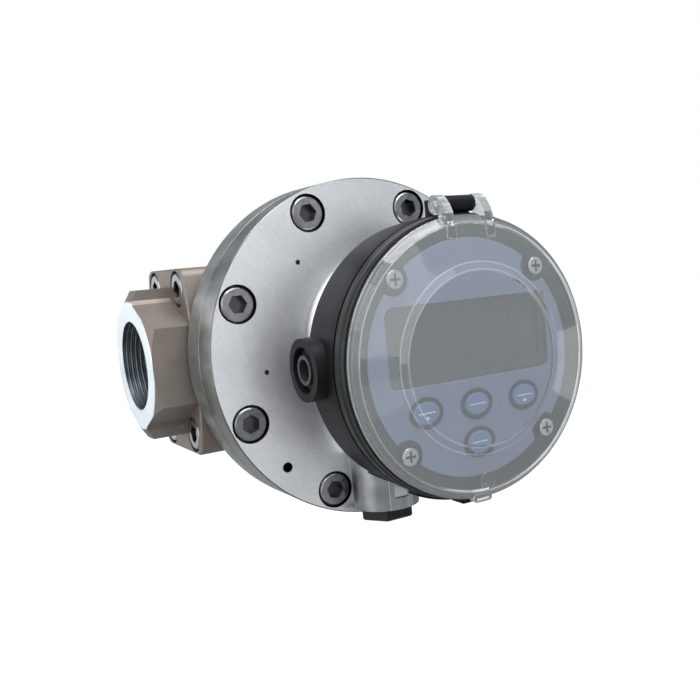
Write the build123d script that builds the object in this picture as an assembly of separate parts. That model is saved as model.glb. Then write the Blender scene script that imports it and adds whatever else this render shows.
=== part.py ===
from build123d import *
import os
from math import cos, radians, sin, sqrt

# Oval gear flow meter with a round bolted cover and a liquid-crystal register.
# Millimetres. X runs along the pipe from the inlet to the outlet, Y from the register to the
# back, Z up. The origin is the centre of the inlet port's mouth, on the port axis.

os.makedirs("parts", exist_ok=True)

# Driving sizes of the pipe line
port_to_port = 199.0
port_bore = 44.9
port_bore_depth = 22.0
adaptor_waterway = 38.0
body_waterway = 32.0

# Driving sizes of the bolted port flanges
flange_thick = 20.0
hub_length = 20.0
flange_height = 93.0
flange_width_middle = 69.0
flange_width_ends = 55.0
flange_corner = 6.0
flange_edge = 0.7
flange_bolt_y = 36.5
flange_bolt_z = 73.0
hub_across_flats = 64.0
hub_flat_height = 38.0
hub_shoulder_y = 12.0
hub_shoulder_z = 61.0
hub_rib_width = 12.0
hub_rib_height = 75.0
hub_rib_root = 2.0
hub_face_diameter = 64.0
hub_cone_depth = 9.6
hub_cone_slope = 0.6
port_seal_inner = 46.0
port_seal_width = 3.5
port_seal_groove = 2.2

# Driving sizes of the body casting
rim_radius = 83.0
rim_thick = 16.5
rim_edge = 0.5
rim_to_flange = 0.5
drum_wall = 3.9
drum_edge = 3.0
body_floor = 8.5

# Driving sizes of the measuring chamber and the rotors
shaft_spacing = 44.0
rotor_swing = 6.0
rotor_length = 59.4
rotor_end_gap = 0.3
rotor_tip_gap = 0.25
rotor_mesh_gap = 0.3
rotor_gaps = 24
rotor_gap_depth = 2.6
rotor_gap_share = 0.5
shaft_diameter = 10.0
shaft_running_gap = 0.05
shaft_seat = 5.0
bush_diameter = 16.0
bush_length = 14.0
washer_diameter = 17.0
washer_thick = 1.5
magnet_diameter = 6.0
magnet_depth = 4.0
magnet_radius = 20.0

# Driving sizes of the cover
cover_thick = 16.0
chamber_wall = 3.75
spigot_gap = 0.1
cover_seal_width = 2.6
cover_seal_height = 3.4
cover_seal_back = 8.0
cover_bolt_inset = 10.25
cover_bolts = 8
cover_bolt_first = 22.5
dowel_stand = 7.0
dowel_diameter = 5.0
dowel_length = 14.0
dimple_diameter = 2.4
dimple_depth = 4.0
dimple_places = [(57.0, 128.6), (57.0, 185.0)]
jack_hole_diameter = 5.0
jack_hole_angle = 225.0

# Driving sizes of the socket head screws, one size for cover and flanges
screw_diameter = 10.0
screw_head_diameter = 16.0
screw_head_height = 10.0
screw_head_edge = 0.8
screw_socket = 8.0
screw_socket_depth = 5.0
screw_counterbore = 18.2
screw_clearance = 11.0
screw_thread_gap = 0.05
cover_screw_length = 20.0
flange_screw_length = 28.0
screw_turns = [14.0, 41.0, 8.0, 0.0, 22.0, 49.0, 33.0, 5.0]

# Driving sizes of the turret on the cover
turret_x = 8.0
turret_z = 4.0
turret_radius = 39.0
turret_height = 22.0
turret_foot = 5.5
turret_wall = 9.0
turret_pocket_depth = 28.0
turret_screw_angles = [20, 110, 200, 290]
turret_screw_diameter = 5.0
turret_screw_depth = 12.0
turret_screw_head = 8.4
turret_screw_head_height = 4.5
turret_screw_socket = 4.0
turret_screw_gap = 0.3
wire_hole_radius = 10.0
sensor_well_radius = 9.0
sensor_well_wall = 8.5
sensor_board_gap = 0.3
sensor_offset = 5.2
sensor_screw_diameter = 3.0
sensor_screw_head = 5.4
sensor_screw_head_height = 2.0
reed_diameter = 2.4
reed_length = 12.0
hall_width = 4.0
hall_thick = 1.5
hall_height = 3.0
hall_spacing = 6.8
conduit_x = -7.0
conduit_stand = 13.0
conduit_radius = 16.0
conduit_inset = 7.0
conduit_flat = 1.2
conduit_flat_width = 7.4
conduit_flat_from = 5.6
conduit_flat_height = 7.9
conduit_thread = 20.0
conduit_thread_depth = 16.0
conduit_bore = 14.0
plug_across_flats = 24.0
plug_head = 5.0
plug_thread_length = 12.0
plug_seal_thick = 1.0

# Driving sizes of the register, with heights counted forward from the cover's face
register_x = 17.5
register_z = -4.7
register_radius = 64.0
register_flange = 1.4
register_groove_depth = 1.1
register_groove = 1.1
register_flange_height = 3.0
register_wall = 3.5
register_gasket = 1.0
register_depth = 29.5
bezel_depth = 7.5
bezel_gasket = 0.5
bezel_step = 0.6
bezel_step_height = 3.8
facia_inset = 10.1
facia_thick = 2.1
facia_gap = 0.2
facia_lip = 4.0
facia_screw_angle = 45.3
facia_lug_radius = 7.0
facia_screw_diameter = 4.0
facia_screw_head = 8.6
facia_screw_head_height = 2.2
facia_screw_length = 16.0
facia_screw_cross = 5.2
window_edge = 2.8
window_height = 35.8
window_z = 8.6
window_corner = 4.0
display_margin = 1.5
display_frame_thick = 2.4
display_frame_width = 3.0
display_frame_inset = 1.0
key_half_width = 6.6
key_half_height = 4.95
key_flange_stand = 1.2
key_flange_thick = 1.3
key_gap = 0.25
key_stand = 0.9
key_travel = 0.8
key_rim_width = 1.9
key_rim_height = 0.4
key_side_share = 0.501
key_row_share = 0.39
key_lower_share = 0.716
entry_radius = 14.2
entry_z = 2.0
entry_stand = 6.4
entry_behind = 4.9
entry_recess_radius = 10.4
entry_recess_depth = 7.0
entry_tube_radius = 6.7
entry_hole_radius = 5.0
entry_base = 3.0
post_radius = 5.2
board_inset = 14.5
board_thick = 1.6
board_back = 6.5
board_post_angles = [100, 220, 340]
board_post_radius = 3.0
board_post_inset = 6.0
board_screw_diameter = 3.0
cell_diameter = 17.0
cell_length = 33.5
cell_upper_z = 20.0
cell_lower_z = 2.0
holder_wall = 2.0
holder_back = 1.5
terminal_pitch = 6.0
terminal_count = 8
terminal_height = 12.0
terminal_depth = 10.0
terminal_hole = 3.6
terminal_z = -28.0
switch_width = 6.0
switch_height = 4.0
switch_stem = 3.4

# Driving sizes of the hinged lid
lid_seat = 0.4
lid_seal_height = 0.7
lid_skirt = 1.8
lid_shoulder_inset = 3.4
lid_shoulder = 4.8
lid_dome_inset = 21.0
lid_dome = 8.1
lid_window_inset = 24.4
lid_depth = 9.5
lid_boss_radius = 4.0
lid_boss_x = -1.3
lid_boss_inset = 8.4
lid_boss_height = 6.9
lid_wall = 2.4
hinge_stand = 3.8
hinge_back = 2.5
hinge_ear_radius = 4.0
hinge_ear_inner = 8.2
hinge_ear_width = 4.3
hinge_barrel_radius = 3.6
hinge_side_gap = 0.3
hinge_rib_end = 10.0
hinge_pin_diameter = 3.0
bracket_width = 21.0
bracket_depth = 4.5
bracket_top = 2.5
latch_pad_from = 244.5
latch_pad_to = 271.0
latch_pad = 1.4
latch_pad_behind = 2.5
latch_pad_height = 8.0
latch_lug_x = (-6.5, 1.3)
latch_lug_stand = 3.3
latch_lug_height = 8.5
latch_tab_x = (-7.7, 1.8)
latch_tab_stand = 1.5
latch_tab_thick = 3.8
latch_corner = 1.2

# Places that follow from the driving sizes
half_length = port_to_port / 2
rotor_pitch = shaft_spacing / 2
rotor_tip = rotor_pitch + rotor_swing
chamber_radius = rotor_tip + rotor_tip_gap
spigot_radius = rotor_pitch + chamber_radius + chamber_wall
drum_radius = spigot_radius + spigot_gap + drum_wall
dowel_circle = 2 * (spigot_radius + dowel_stand)
cover_bolt_circle = 2 * (rim_radius - cover_bolt_inset)
conduit_bottom = conduit_inset - rim_radius
turret_pocket_radius = turret_radius - turret_wall
turret_screw_circle = turret_radius + turret_pocket_radius
register_flange_radius = register_radius + register_flange
facia_radius = register_radius - facia_inset
window_reach = facia_radius - window_edge
window_width = 2 * sqrt(window_reach ** 2 - (window_z + window_height / 2) ** 2)
key_side = key_side_share * facia_radius
key_row = -key_row_share * facia_radius
key_places = {
    "left": (-key_side, key_row), "middle": (0.0, key_row), "right": (key_side, key_row),
    "lower": (0.0, -key_lower_share * facia_radius),
}
entry_reach = register_radius + entry_stand
board_radius = register_radius - register_wall - board_inset
board_post_circle = 2 * (board_radius - board_post_inset)
lid_radius = register_radius
lid_shoulder_radius = lid_radius - lid_shoulder_inset
lid_dome_radius = lid_radius - lid_dome_inset
lid_window_radius = lid_radius - lid_window_inset
hinge_rise = register_flange_radius + hinge_stand
hinge_reach = hinge_ear_inner + hinge_ear_width
neck_face = half_length - hub_length - flange_thick
flange_face = neck_face + flange_thick
rim_rear = -flange_width_middle / 2 - rim_to_flange
rim_front = rim_rear - rim_thick
cover_face = rim_front - cover_thick
chamber_half = rotor_length / 2 + rotor_end_gap
body_rear = chamber_half + body_floor
rotor_heights = {"a": rotor_pitch, "b": -rotor_pitch}
cover_bolt_angles = [cover_bolt_first + 360.0 / cover_bolts * k for k in range(cover_bolts)]
housing_rear = turret_height + register_gasket
housing_front = housing_rear + register_depth
bezel_rear = housing_front + bezel_gasket
facia_front = bezel_rear + bezel_depth
facia_rear = facia_front - facia_thick
board_rear = housing_front - board_back
board_front = board_rear + board_thick
lid_rear = facia_front + lid_seal_height + lid_seat
hinge_height = facia_front - hinge_back
entry_height = housing_rear + entry_radius - entry_behind
small = 0.02


def along_y(radius, y_from, y_to, x=0.0, z=0.0):
    """Cylinder on the Y axis through (x, z), from one Y to the other."""
    length = abs(y_to - y_from)
    return Pos(x, (y_from + y_to) / 2, z) * Rot(90, 0, 0) * Cylinder(radius, length)


def along_x(radius, x_from, x_to, y=0.0, z=0.0):
    """Cylinder on the X axis through (y, z), from one X to the other."""
    length = abs(x_to - x_from)
    return Pos((x_from + x_to) / 2, y, z) * Rot(0, 90, 0) * Cylinder(radius, length)


def along_z(radius, z_from, z_to, x=0.0, y=0.0):
    """Cylinder on the Z axis through (x, y), from one Z to the other."""
    return Pos(x, y, (z_from + z_to) / 2) * Cylinder(radius, abs(z_to - z_from))


def block(low, high):
    """Box between two opposite corners."""
    size = [h - l for l, h in zip(low, high)]
    middle = [(h + l) / 2 for l, h in zip(low, high)]
    return Pos(*middle) * Box(*size)


def turned(points, x=0.0, z=0.0):
    """Solid turned about a Y axis through (x, z), from points of radius and Y."""
    outline = make_face(Polyline(*[(r, y, 0) for r, y in points], close=True))
    return Pos(x, 0, z) * revolve(outline, Axis.Y, 360)


def forward(height):
    """Y of a height counted forward from the cover's face."""
    return cover_face - height


def register_turned(points):
    """Solid turned about the register's axis, from points of radius and height."""
    return turned([(r, forward(h)) for r, h in points], register_x, register_z)


def register_disc(radius, low, high, x=0.0, z=0.0):
    """Cylinder in the register, placed from its axis, between two heights."""
    return along_y(radius, forward(low), forward(high), register_x + x, register_z + z)


def register_oval(half_width, half_height, low, high, x=0.0, z=0.0):
    """Oval column in the register, placed from its axis, between two heights."""
    column = extrude(Ellipse(half_width, half_height), amount=high - low)
    return Pos(register_x + x, forward(low), register_z + z) * Rot(90, 0, 0) * column


def key_oval(beyond, low, high, x, z):
    """Oval of a key's outline, made wider all round by a given amount."""
    return register_oval(key_half_width + beyond, key_half_height + beyond, low, high, x, z)


def register_block(low, high):
    """Box in the register from two corners of x, height and z."""
    corner = (register_x + low[0], forward(high[1]), register_z + low[2])
    opposite = (register_x + high[0], forward(low[1]), register_z + high[2])
    return block(corner, opposite)


def register_plate(width, height, z, corner, low, high):
    """Plate with round corners in the register, between two heights."""
    flat = Plane.XZ * Pos(register_x, register_z + z) * RectangleRounded(width, height, corner)
    return Pos(0, forward(low), 0) * extrude(flat, high - low, dir=(0, -1, 0))


def ring_of(count_angles, radius):
    """X and Z of each angle on a circle about the Y axis."""
    return [(radius * cos(radians(a)), radius * sin(radians(a))) for a in count_angles]


def socket_screw(length, turn):
    """Socket head screw with its head's top at the origin and its shank along -Z."""
    head = Pos(0, 0, -screw_head_height / 2) * Cylinder(screw_head_diameter / 2, screw_head_height)
    head = chamfer(head.edges().group_by(Axis.Z)[-1], screw_head_edge)
    shank_centre = -screw_head_height - length / 2
    shank = Pos(0, 0, shank_centre) * Cylinder(screw_diameter / 2, length)
    socket = Rot(0, 0, turn) * RegularPolygon(screw_socket / 2, 6, major_radius=False)
    recess = Pos(0, 0, -screw_socket_depth) * extrude(socket, screw_socket_depth + 1)
    return head + shank - recess


def flange_outline():
    """Flange face: flat top and bottom, sides that bow outwards, round corners."""
    end_y = flange_width_ends / 2
    top = flange_height / 2
    side_y = flange_width_middle / 2
    edges = [
        Line((-end_y, top), (end_y, top)),
        ThreePointArc((end_y, top), (side_y, 0), (end_y, -top)),
        Line((end_y, -top), (-end_y, -top)),
        ThreePointArc((-end_y, -top), (-side_y, 0), (-end_y, top)),
    ]
    face = make_face(edges)
    return fillet(face.vertices(), flange_corner)


def hub_outline():
    """Hub section: six-sided, with the top and bottom corners drawn out into a rib."""
    flat_y = hub_across_flats / 2
    flat_z = hub_flat_height / 2
    rib_y = hub_rib_width / 2
    rib_z = hub_rib_height / 2
    step_y = hub_shoulder_y / 2 + hub_rib_root
    step_z = hub_shoulder_z / 2
    half = [(flat_y, flat_z), (step_y, step_z), (rib_y, step_z + hub_rib_root), (rib_y, rib_z)]
    upper = half + [(-y, z) for y, z in reversed(half)]
    lower = [(y, -z) for y, z in reversed(upper)]
    return make_face(Polyline(*upper, *lower, close=True))


def across_pipe(flat, x_from, length):
    """Extrude a face drawn in Y and Z along +X from a place on the pipe."""
    return extrude(Plane.YZ.offset(x_from) * flat, length)


def make_body():
    rim = along_y(rim_radius, rim_front, rim_rear)
    rim = chamfer(rim.edges().filter_by(GeomType.CIRCLE), rim_edge)
    drum = along_y(drum_radius, rim_rear - small, body_rear)
    drum = chamfer(drum.edges().group_by(Axis.Y)[-1], drum_edge)
    neck = across_pipe(flange_outline(), -neck_face, 2 * neck_face)
    body = rim + drum + neck
    body -= along_y(spigot_radius + spigot_gap, rim_front - 1, -chamber_half)
    for height in rotor_heights.values():
        body -= along_y(chamber_radius, -chamber_half - 1, chamber_half, z=height)
        washer_seat = washer_diameter / 2 + small
        body -= along_y(washer_seat, chamber_half, chamber_half + washer_thick, z=height)
        seat_end = chamber_half + shaft_seat
        body -= along_y(shaft_diameter / 2 + small, chamber_half, seat_end, z=height)
    body -= along_x(body_waterway / 2, -neck_face - 1, neck_face + 1)
    thread = screw_diameter / 2 + screw_thread_gap
    for x, z in ring_of(cover_bolt_angles, cover_bolt_circle / 2):
        tip = cover_face + screw_head_height + cover_screw_length
        body -= along_y(thread, rim_front - 1, tip + 1, x, z)
    for x, z in ring_of([0, 180], dowel_circle / 2):
        body -= along_y(dowel_diameter / 2 + small, rim_front, rim_front + dowel_length / 2, x, z)
    for side in (-1, 1):
        tip = flange_face - screw_head_height - flange_screw_length
        for y in (-flange_bolt_y / 2, flange_bolt_y / 2):
            for z in (-flange_bolt_z / 2, flange_bolt_z / 2):
                body -= along_x(thread, side * (tip - 1), side * (neck_face + 1), y, z)
    return body


def turret_solid():
    """Turret outline turned about its own axis, with a round foot on the cover's face."""
    foot_bulge = turret_foot * (1 - sqrt(0.5))
    inside = forward(-2)
    base = forward(0)
    top = forward(turret_height)
    outer = turret_radius + turret_foot
    edges = [
        Line((0, inside), (outer, inside)),
        Line((outer, inside), (outer, base)),
        ThreePointArc((outer, base), (turret_radius + foot_bulge, base - foot_bulge),
                      (turret_radius, base - turret_foot)),
        Line((turret_radius, base - turret_foot), (turret_radius, top)),
        Line((turret_radius, top), (0, top)),
        Line((0, top), (0, inside)),
    ]
    return Pos(turret_x, 0, turret_z) * revolve(make_face(edges), Axis.Y, 360)


def conduit_solid():
    """Vertical boss at the turret's foot, with its upper front cut back for the register."""
    y = forward(conduit_stand)
    boss = along_z(conduit_radius, conduit_bottom, turret_z - turret_radius / 2, conduit_x, y)
    room = register_disc(register_radius + 0.5, turret_height - 0.3, turret_height + conduit_radius)
    boss -= room
    front = conduit_stand + conduit_radius
    flat_from = conduit_bottom + conduit_flat_from
    flat_low = (conduit_x - conduit_flat_width / 2, forward(front), flat_from)
    flat_to = flat_from + conduit_flat_height
    flat_high = (conduit_x + conduit_flat_width / 2, forward(front - conduit_flat), flat_to)
    return boss - block(flat_low, flat_high)


def make_cover():
    disc = along_y(rim_radius, cover_face, rim_front)
    disc = chamfer(disc.edges().filter_by(GeomType.CIRCLE), rim_edge)
    cover = disc + along_y(spigot_radius, rim_front - small, -chamber_half)
    cover += turret_solid() + conduit_solid()
    seat = cover_face + screw_head_height
    for x, z in ring_of(cover_bolt_angles, cover_bolt_circle / 2):
        cover -= along_y(screw_counterbore / 2, cover_face - turret_foot, seat, x, z)
        cover -= along_y(screw_clearance / 2, cover_face, rim_front + 1, x, z)
    for radius, angle in dimple_places:
        for x, z in ring_of([angle], radius):
            cover -= along_y(dimple_diameter / 2, cover_face - 1, cover_face + dimple_depth, x, z)
    for x, z in ring_of([jack_hole_angle], cover_bolt_circle / 2):
        cover -= along_y(jack_hole_diameter / 2, cover_face - 1, rim_front + 1, x, z)
    for x, z in ring_of([0, 180], dowel_circle / 2):
        cover -= along_y(dowel_diameter / 2 + small, rim_front - dowel_length / 2, rim_front, x, z)
    groove_front = -chamber_half - cover_seal_back - cover_seal_height
    groove_rear = -chamber_half - cover_seal_back
    groove = along_y(spigot_radius + 1, groove_front, groove_rear)
    cover -= groove - along_y(spigot_radius - cover_seal_width, groove_front - 1, groove_rear + 1)
    for height in rotor_heights.values():
        seat_end = -chamber_half - shaft_seat
        cover -= along_y(shaft_diameter / 2 + small, seat_end, -chamber_half + 1, z=height)
    pocket_floor = forward(turret_height) + turret_pocket_depth
    cover -= along_y(turret_pocket_radius, forward(turret_height + 1), pocket_floor, turret_x, turret_z)
    well_floor = -chamber_half - sensor_well_wall
    cover -= along_y(sensor_well_radius, pocket_floor - 1, well_floor, 0, rotor_heights["a"])
    for x, z in ring_of(turret_screw_angles, turret_screw_circle / 2):
        depth = forward(turret_height - turret_screw_depth)
        radius = turret_screw_diameter / 2 + screw_thread_gap
        cover -= along_y(radius, forward(turret_height + 1), depth, turret_x + x, turret_z + z)
    y = forward(conduit_stand)
    top = conduit_bottom + conduit_thread_depth
    cover -= along_z(conduit_thread / 2, conduit_bottom - 1, top, conduit_x, y)
    cover -= along_z(conduit_bore / 2, top - 1, turret_z, conduit_x, y)
    return cover


def make_adaptor():
    """Inlet adaptor: flange and hub in one piece, with its face towards -X."""
    flange = across_pipe(flange_outline(), -flange_face, flange_thick)
    flange = chamfer(flange.edges().group_by(Axis.X)[0], flange_edge)
    hub = across_pipe(hub_outline(), -half_length, half_length - flange_face + small)
    reach = half_length - flange_face
    cone_radius = hub_face_diameter / 2
    far_radius = cone_radius + hub_cone_depth
    cone_end = -half_length + hub_cone_depth * hub_cone_slope
    cone_edges = [
        Line((0, -half_length), (cone_radius, -half_length)),
        Line((cone_radius, -half_length), (far_radius, cone_end)),
        Line((far_radius, cone_end), (far_radius, -half_length + reach + 1)),
        Line((far_radius, -half_length + reach + 1), (0, -half_length + reach + 1)),
        Line((0, -half_length + reach + 1), (0, -half_length)),
    ]
    cone = Rot(0, 0, -90) * revolve(make_face(cone_edges), Axis.Y, 360)
    adaptor = flange + (hub & cone)
    adaptor -= along_x(port_bore / 2, -half_length - 1, -half_length + port_bore_depth)
    adaptor -= along_x(adaptor_waterway / 2, -half_length, -neck_face + 1)
    seal_outer = port_seal_inner / 2 + port_seal_width
    groove = along_x(seal_outer + small, -neck_face - port_seal_groove, -neck_face + 1)
    groove -= along_x(port_seal_inner / 2 - small, -neck_face - port_seal_groove - 1, -neck_face + 2)
    adaptor -= groove
    for y in (-flange_bolt_y / 2, flange_bolt_y / 2):
        for z in (-flange_bolt_z / 2, flange_bolt_z / 2):
            seat = -flange_face + screw_head_height
            adaptor -= along_x(screw_counterbore / 2, -flange_face - 4, seat, y, z)
            adaptor -= along_x(screw_clearance / 2, seat - 1, -neck_face + 1, y, z)
    return adaptor


def make_port_seal():
    outer = port_seal_inner / 2 + port_seal_width
    ring = along_x(outer, -neck_face - port_seal_groove + small, -neck_face)
    return ring - along_x(port_seal_inner / 2, -neck_face - port_seal_groove - 1, -neck_face + 1)


def make_flange_screws():
    screws = []
    for index, y in enumerate((-flange_bolt_y / 2, flange_bolt_y / 2)):
        for z in (-flange_bolt_z / 2, flange_bolt_z / 2):
            turn = screw_turns[2 * index + (z > 0)]
            place = Pos(-flange_face, y, z) * Rot(0, -90, 0)
            screws.append(place * socket_screw(flange_screw_length, turn))
    return Compound(children=screws)


def make_cover_screws():
    screws = []
    for turn, (x, z) in zip(screw_turns, ring_of(cover_bolt_angles, cover_bolt_circle / 2)):
        place = Pos(x, cover_face, z) * Rot(90, 0, 0)
        screws.append(place * socket_screw(cover_screw_length, turn))
    return Compound(children=screws)


def make_cover_seal():
    front = -chamber_half - cover_seal_back - cover_seal_height + small
    rear = -chamber_half - cover_seal_back - small
    ring = along_y(spigot_radius + spigot_gap - small, front, rear)
    return ring - along_y(spigot_radius - cover_seal_width + small, front - 1, rear + 1)


def make_dowels():
    low = rim_front - dowel_length / 2 + small
    high = rim_front + dowel_length / 2 - small
    return Compound(children=[along_y(dowel_diameter / 2, low, high, x, z)
                              for x, z in ring_of([0, 180], dowel_circle / 2)])


def rotor_point(turn, depth=0.0):
    """Point of the oval that a wavy rack would cut.

    The rack's height is the swing times the cosine of twice the turn. The blank rolls on the
    rack's middle line, so the point lies one pitch radius plus the height above the blank's
    centre, shifted by height times slope, and turned back by how far the blank has rolled.
    """
    height = rotor_swing * cos(2 * turn)
    slope = -2 * rotor_swing / rotor_pitch * sin(2 * turn)
    rolled = turn + height * slope / rotor_pitch
    side = -height * slope
    radial = rotor_pitch + height - rotor_mesh_gap / 2 - depth
    return (side * cos(rolled) + radial * sin(rolled), radial * cos(rolled) - side * sin(rolled))


def rotor_outline():
    """Toothed oval: tips lie on the rolling oval and square gaps are cut inside it."""
    step = radians(360.0 / rotor_gaps)
    tip = step * (1 - rotor_gap_share)
    edges = []
    for index in range(rotor_gaps):
        start = index * step - tip / 2
        middle = index * step
        end = index * step + tip / 2
        following = (index + 1) * step - tip / 2
        inset = (following - end) * 0.2
        root_start = rotor_point(end + inset, rotor_gap_depth)
        root_end = rotor_point(following - inset, rotor_gap_depth)
        edges.append(ThreePointArc(rotor_point(start), rotor_point(middle), rotor_point(end)))
        edges.append(Line(rotor_point(end), root_start))
        edges.append(Line(root_start, root_end))
        edges.append(Line(root_end, rotor_point(following)))
    return make_face(edges)


def make_rotor(name):
    """Rotor a stands with its long axis upright, rotor b a quarter turn away."""
    quarter = 90 if name == "b" else 0
    flat = Rot(0, 0, quarter) * rotor_outline()
    solid = extrude(Plane.XZ * flat, rotor_length, dir=(0, 1, 0))
    rotor = Pos(0, -rotor_length / 2, rotor_heights[name]) * solid
    rotor -= along_y(bush_diameter / 2, -chamber_half, chamber_half, z=rotor_heights[name])
    if name == "a":
        face = -rotor_length / 2
        for side in (-1, 1):
            z = rotor_heights["a"] + side * magnet_radius
            rotor -= along_y(magnet_diameter / 2 + small, face - 1, face + magnet_depth, z=z)
    return rotor


def make_bushes(name):
    bushes = []
    for side in (-1, 1):
        outer_end = side * rotor_length / 2
        inner_end = side * (rotor_length / 2 - bush_length)
        bush = along_y(bush_diameter / 2 - small, outer_end, inner_end, z=rotor_heights[name])
        hole = shaft_diameter / 2 + shaft_running_gap
        bushes.append(bush - along_y(hole, outer_end + side, inner_end - side, z=rotor_heights[name]))
    return Compound(children=bushes)


def make_shaft(name):
    end = chamber_half + shaft_seat - small
    return along_y(shaft_diameter / 2, -end, end, z=rotor_heights[name])


def make_washers():
    washers = []
    for height in rotor_heights.values():
        low = chamber_half + small
        high = chamber_half + washer_thick
        washer = along_y(washer_diameter / 2, low, high, z=height)
        washers.append(washer - along_y(shaft_diameter / 2 + small, low - 1, high + 1, z=height))
    return Compound(children=washers)


def make_magnets():
    face = -rotor_length / 2
    places = [rotor_heights["a"] + side * magnet_radius for side in (-1, 1)]
    return Compound(children=[along_y(magnet_diameter / 2, face, face + magnet_depth - small, z=z)
                              for z in places])


def sensor_floor():
    return -chamber_half - sensor_well_wall


def sensor_top():
    """Front of the sensor board, where its own pieces stand."""
    return sensor_floor() - small - board_thick


def make_sensor_board():
    rear = sensor_floor() - small
    height = rotor_heights["a"]
    board = along_y(sensor_well_radius - sensor_board_gap, sensor_top(), rear, z=height)
    return board - along_y(sensor_screw_diameter / 2 + 0.1, sensor_top() - 1, rear + 1, z=height)


def make_sensor_screw():
    head_top = sensor_top() - sensor_screw_head_height
    height = rotor_heights["a"]
    head = along_y(sensor_screw_head / 2, head_top, sensor_top(), z=height)
    return head + along_y(sensor_screw_diameter / 2, sensor_top(), sensor_floor() - small, z=height)


def make_reed_switch():
    radius = reed_diameter / 2
    z = rotor_heights["a"] + sensor_offset
    return along_x(radius, -reed_length / 2, reed_length / 2, sensor_top() - radius, z)


def make_hall_sensors():
    z = rotor_heights["a"] - sensor_offset
    chips = []
    for x in (-hall_spacing / 2, hall_spacing / 2):
        low = (x - hall_width / 2, sensor_top() - hall_thick, z - hall_height / 2)
        chips.append(block(low, (x + hall_width / 2, sensor_top(), z + hall_height / 2)))
    return Compound(children=chips)


def make_conduit_plug():
    y = forward(conduit_stand)
    head_top = conduit_bottom - plug_seal_thick
    flat = RegularPolygon(plug_across_flats / 2, 6, major_radius=False)
    head = Pos(conduit_x, y, head_top - plug_head) * extrude(flat, plug_head)
    head = chamfer(head.edges().group_by(Axis.Z)[0], 1.0)
    shank = along_z(conduit_thread / 2 - 0.05, head_top, conduit_bottom + plug_thread_length, conduit_x, y)
    return head + shank


def make_plug_seal():
    y = forward(conduit_stand)
    ring = along_z(plug_across_flats / 2, conduit_bottom - plug_seal_thick, conduit_bottom, conduit_x, y)
    return ring - along_z(conduit_thread / 2, conduit_bottom - 3, conduit_bottom + 1, conduit_x, y)


def facia_screw_places():
    (x, z), = ring_of([facia_screw_angle], facia_radius)
    return [(side * x, end * z) for side in (-1, 1) for end in (-1, 1)]


def turret_screw_places():
    """Turret screws in the register's own x and z."""
    return [(turret_x + x - register_x, turret_z + z - register_z)
            for x, z in ring_of(turret_screw_angles, turret_screw_circle / 2)]


def latch_pad_solid(inner, front):
    """Low pad round the housing's lower edge, between two angles."""
    outer = register_flange_radius + latch_pad
    wedge_reach = 2 * outer
    corners = ring_of([latch_pad_from, latch_pad_to], wedge_reach)
    flat = make_face(Polyline((0, 0), corners[0], corners[1], close=True))
    face = Plane.XZ * Pos(register_x, register_z) * flat
    wedge = Pos(0, forward(front - latch_pad_height), 0) * extrude(face, latch_pad_height, dir=(0, -1, 0))
    ring = register_disc(outer, front - latch_pad_height, front) - register_disc(inner, 0, front + 1)
    return ring & wedge


def latch_lug_solid(inner, front):
    """Square lug below the pad, which the lid's tab meets."""
    low = (latch_lug_x[0], front - latch_lug_height, -register_flange_radius - latch_lug_stand)
    lug = register_block(low, (latch_lug_x[1], front, -inner))
    return fillet(lug.edges().filter_by(Axis.Y), latch_corner)


def make_housing():
    radius = register_radius
    flange = register_flange_radius
    groove = flange - register_groove_depth
    inner = radius - register_wall
    floor = housing_rear + register_wall
    front = housing_front
    housing = register_turned([
        (0, housing_rear), (radius - 1.5, housing_rear), (radius, housing_rear + 1.5),
        (flange, front - register_groove - register_flange_height), (flange, front - register_groove),
        (groove, front - register_groove), (groove, front), (inner, front), (inner, floor), (0, floor),
    ])
    for x, z in facia_screw_places():
        post = register_disc(post_radius, floor - small, front, x, z)
        housing += post
    for x, z in ring_of(board_post_angles, board_post_circle / 2):
        housing += register_disc(board_post_radius, floor - small, board_rear, x, z)
    boss = along_x(entry_radius, register_x - entry_reach, register_x - inner + 1,
                   forward(entry_height), register_z + entry_z)
    housing += boss - register_disc(inner, housing_rear - 5, front + 5)
    bracket = register_block((-bracket_width / 2, front - bracket_depth, inner + 1),
                             (bracket_width / 2, front, hinge_rise + bracket_top))
    stalk_low = (-hinge_ear_inner + hinge_side_gap, front - 2, register_flange_radius + 0.3)
    stalk_high = (hinge_ear_inner - hinge_side_gap, hinge_height, hinge_rise + hinge_barrel_radius)
    barrel = along_x(hinge_barrel_radius, register_x - hinge_ear_inner + hinge_side_gap,
                     register_x + hinge_ear_inner - hinge_side_gap,
                     forward(hinge_height), register_z + hinge_rise)
    housing += bracket + register_block(stalk_low, stalk_high) + barrel
    housing += latch_pad_solid(inner + 1, front - latch_pad_behind) + latch_lug_solid(inner + 1, front)
    housing -= along_x(hinge_pin_diameter / 2 + small, register_x - hinge_reach, register_x + hinge_reach,
                       forward(hinge_height), register_z + hinge_rise)
    mouth = register_x - entry_reach
    housing -= along_x(entry_recess_radius, mouth - 1, mouth + entry_recess_depth,
                       forward(entry_height), register_z + entry_z)
    housing -= along_x(entry_hole_radius, mouth, register_x - inner + 2,
                       forward(entry_height), register_z + entry_z)
    for x, z in facia_screw_places():
        depth = front - facia_screw_length + bezel_depth
        housing -= register_disc(facia_screw_diameter / 2 + screw_thread_gap, depth - 1, front + 1, x, z)
    clear = turret_screw_diameter / 2 + turret_screw_gap
    for x, z in turret_screw_places():
        housing -= register_disc(clear, housing_rear - 1, floor + 1, x, z)
    wire_x = turret_x - register_x
    wire_z = turret_z - register_z
    return housing - register_disc(wire_hole_radius, housing_rear - 1, floor + 1, wire_x, wire_z)


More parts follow.
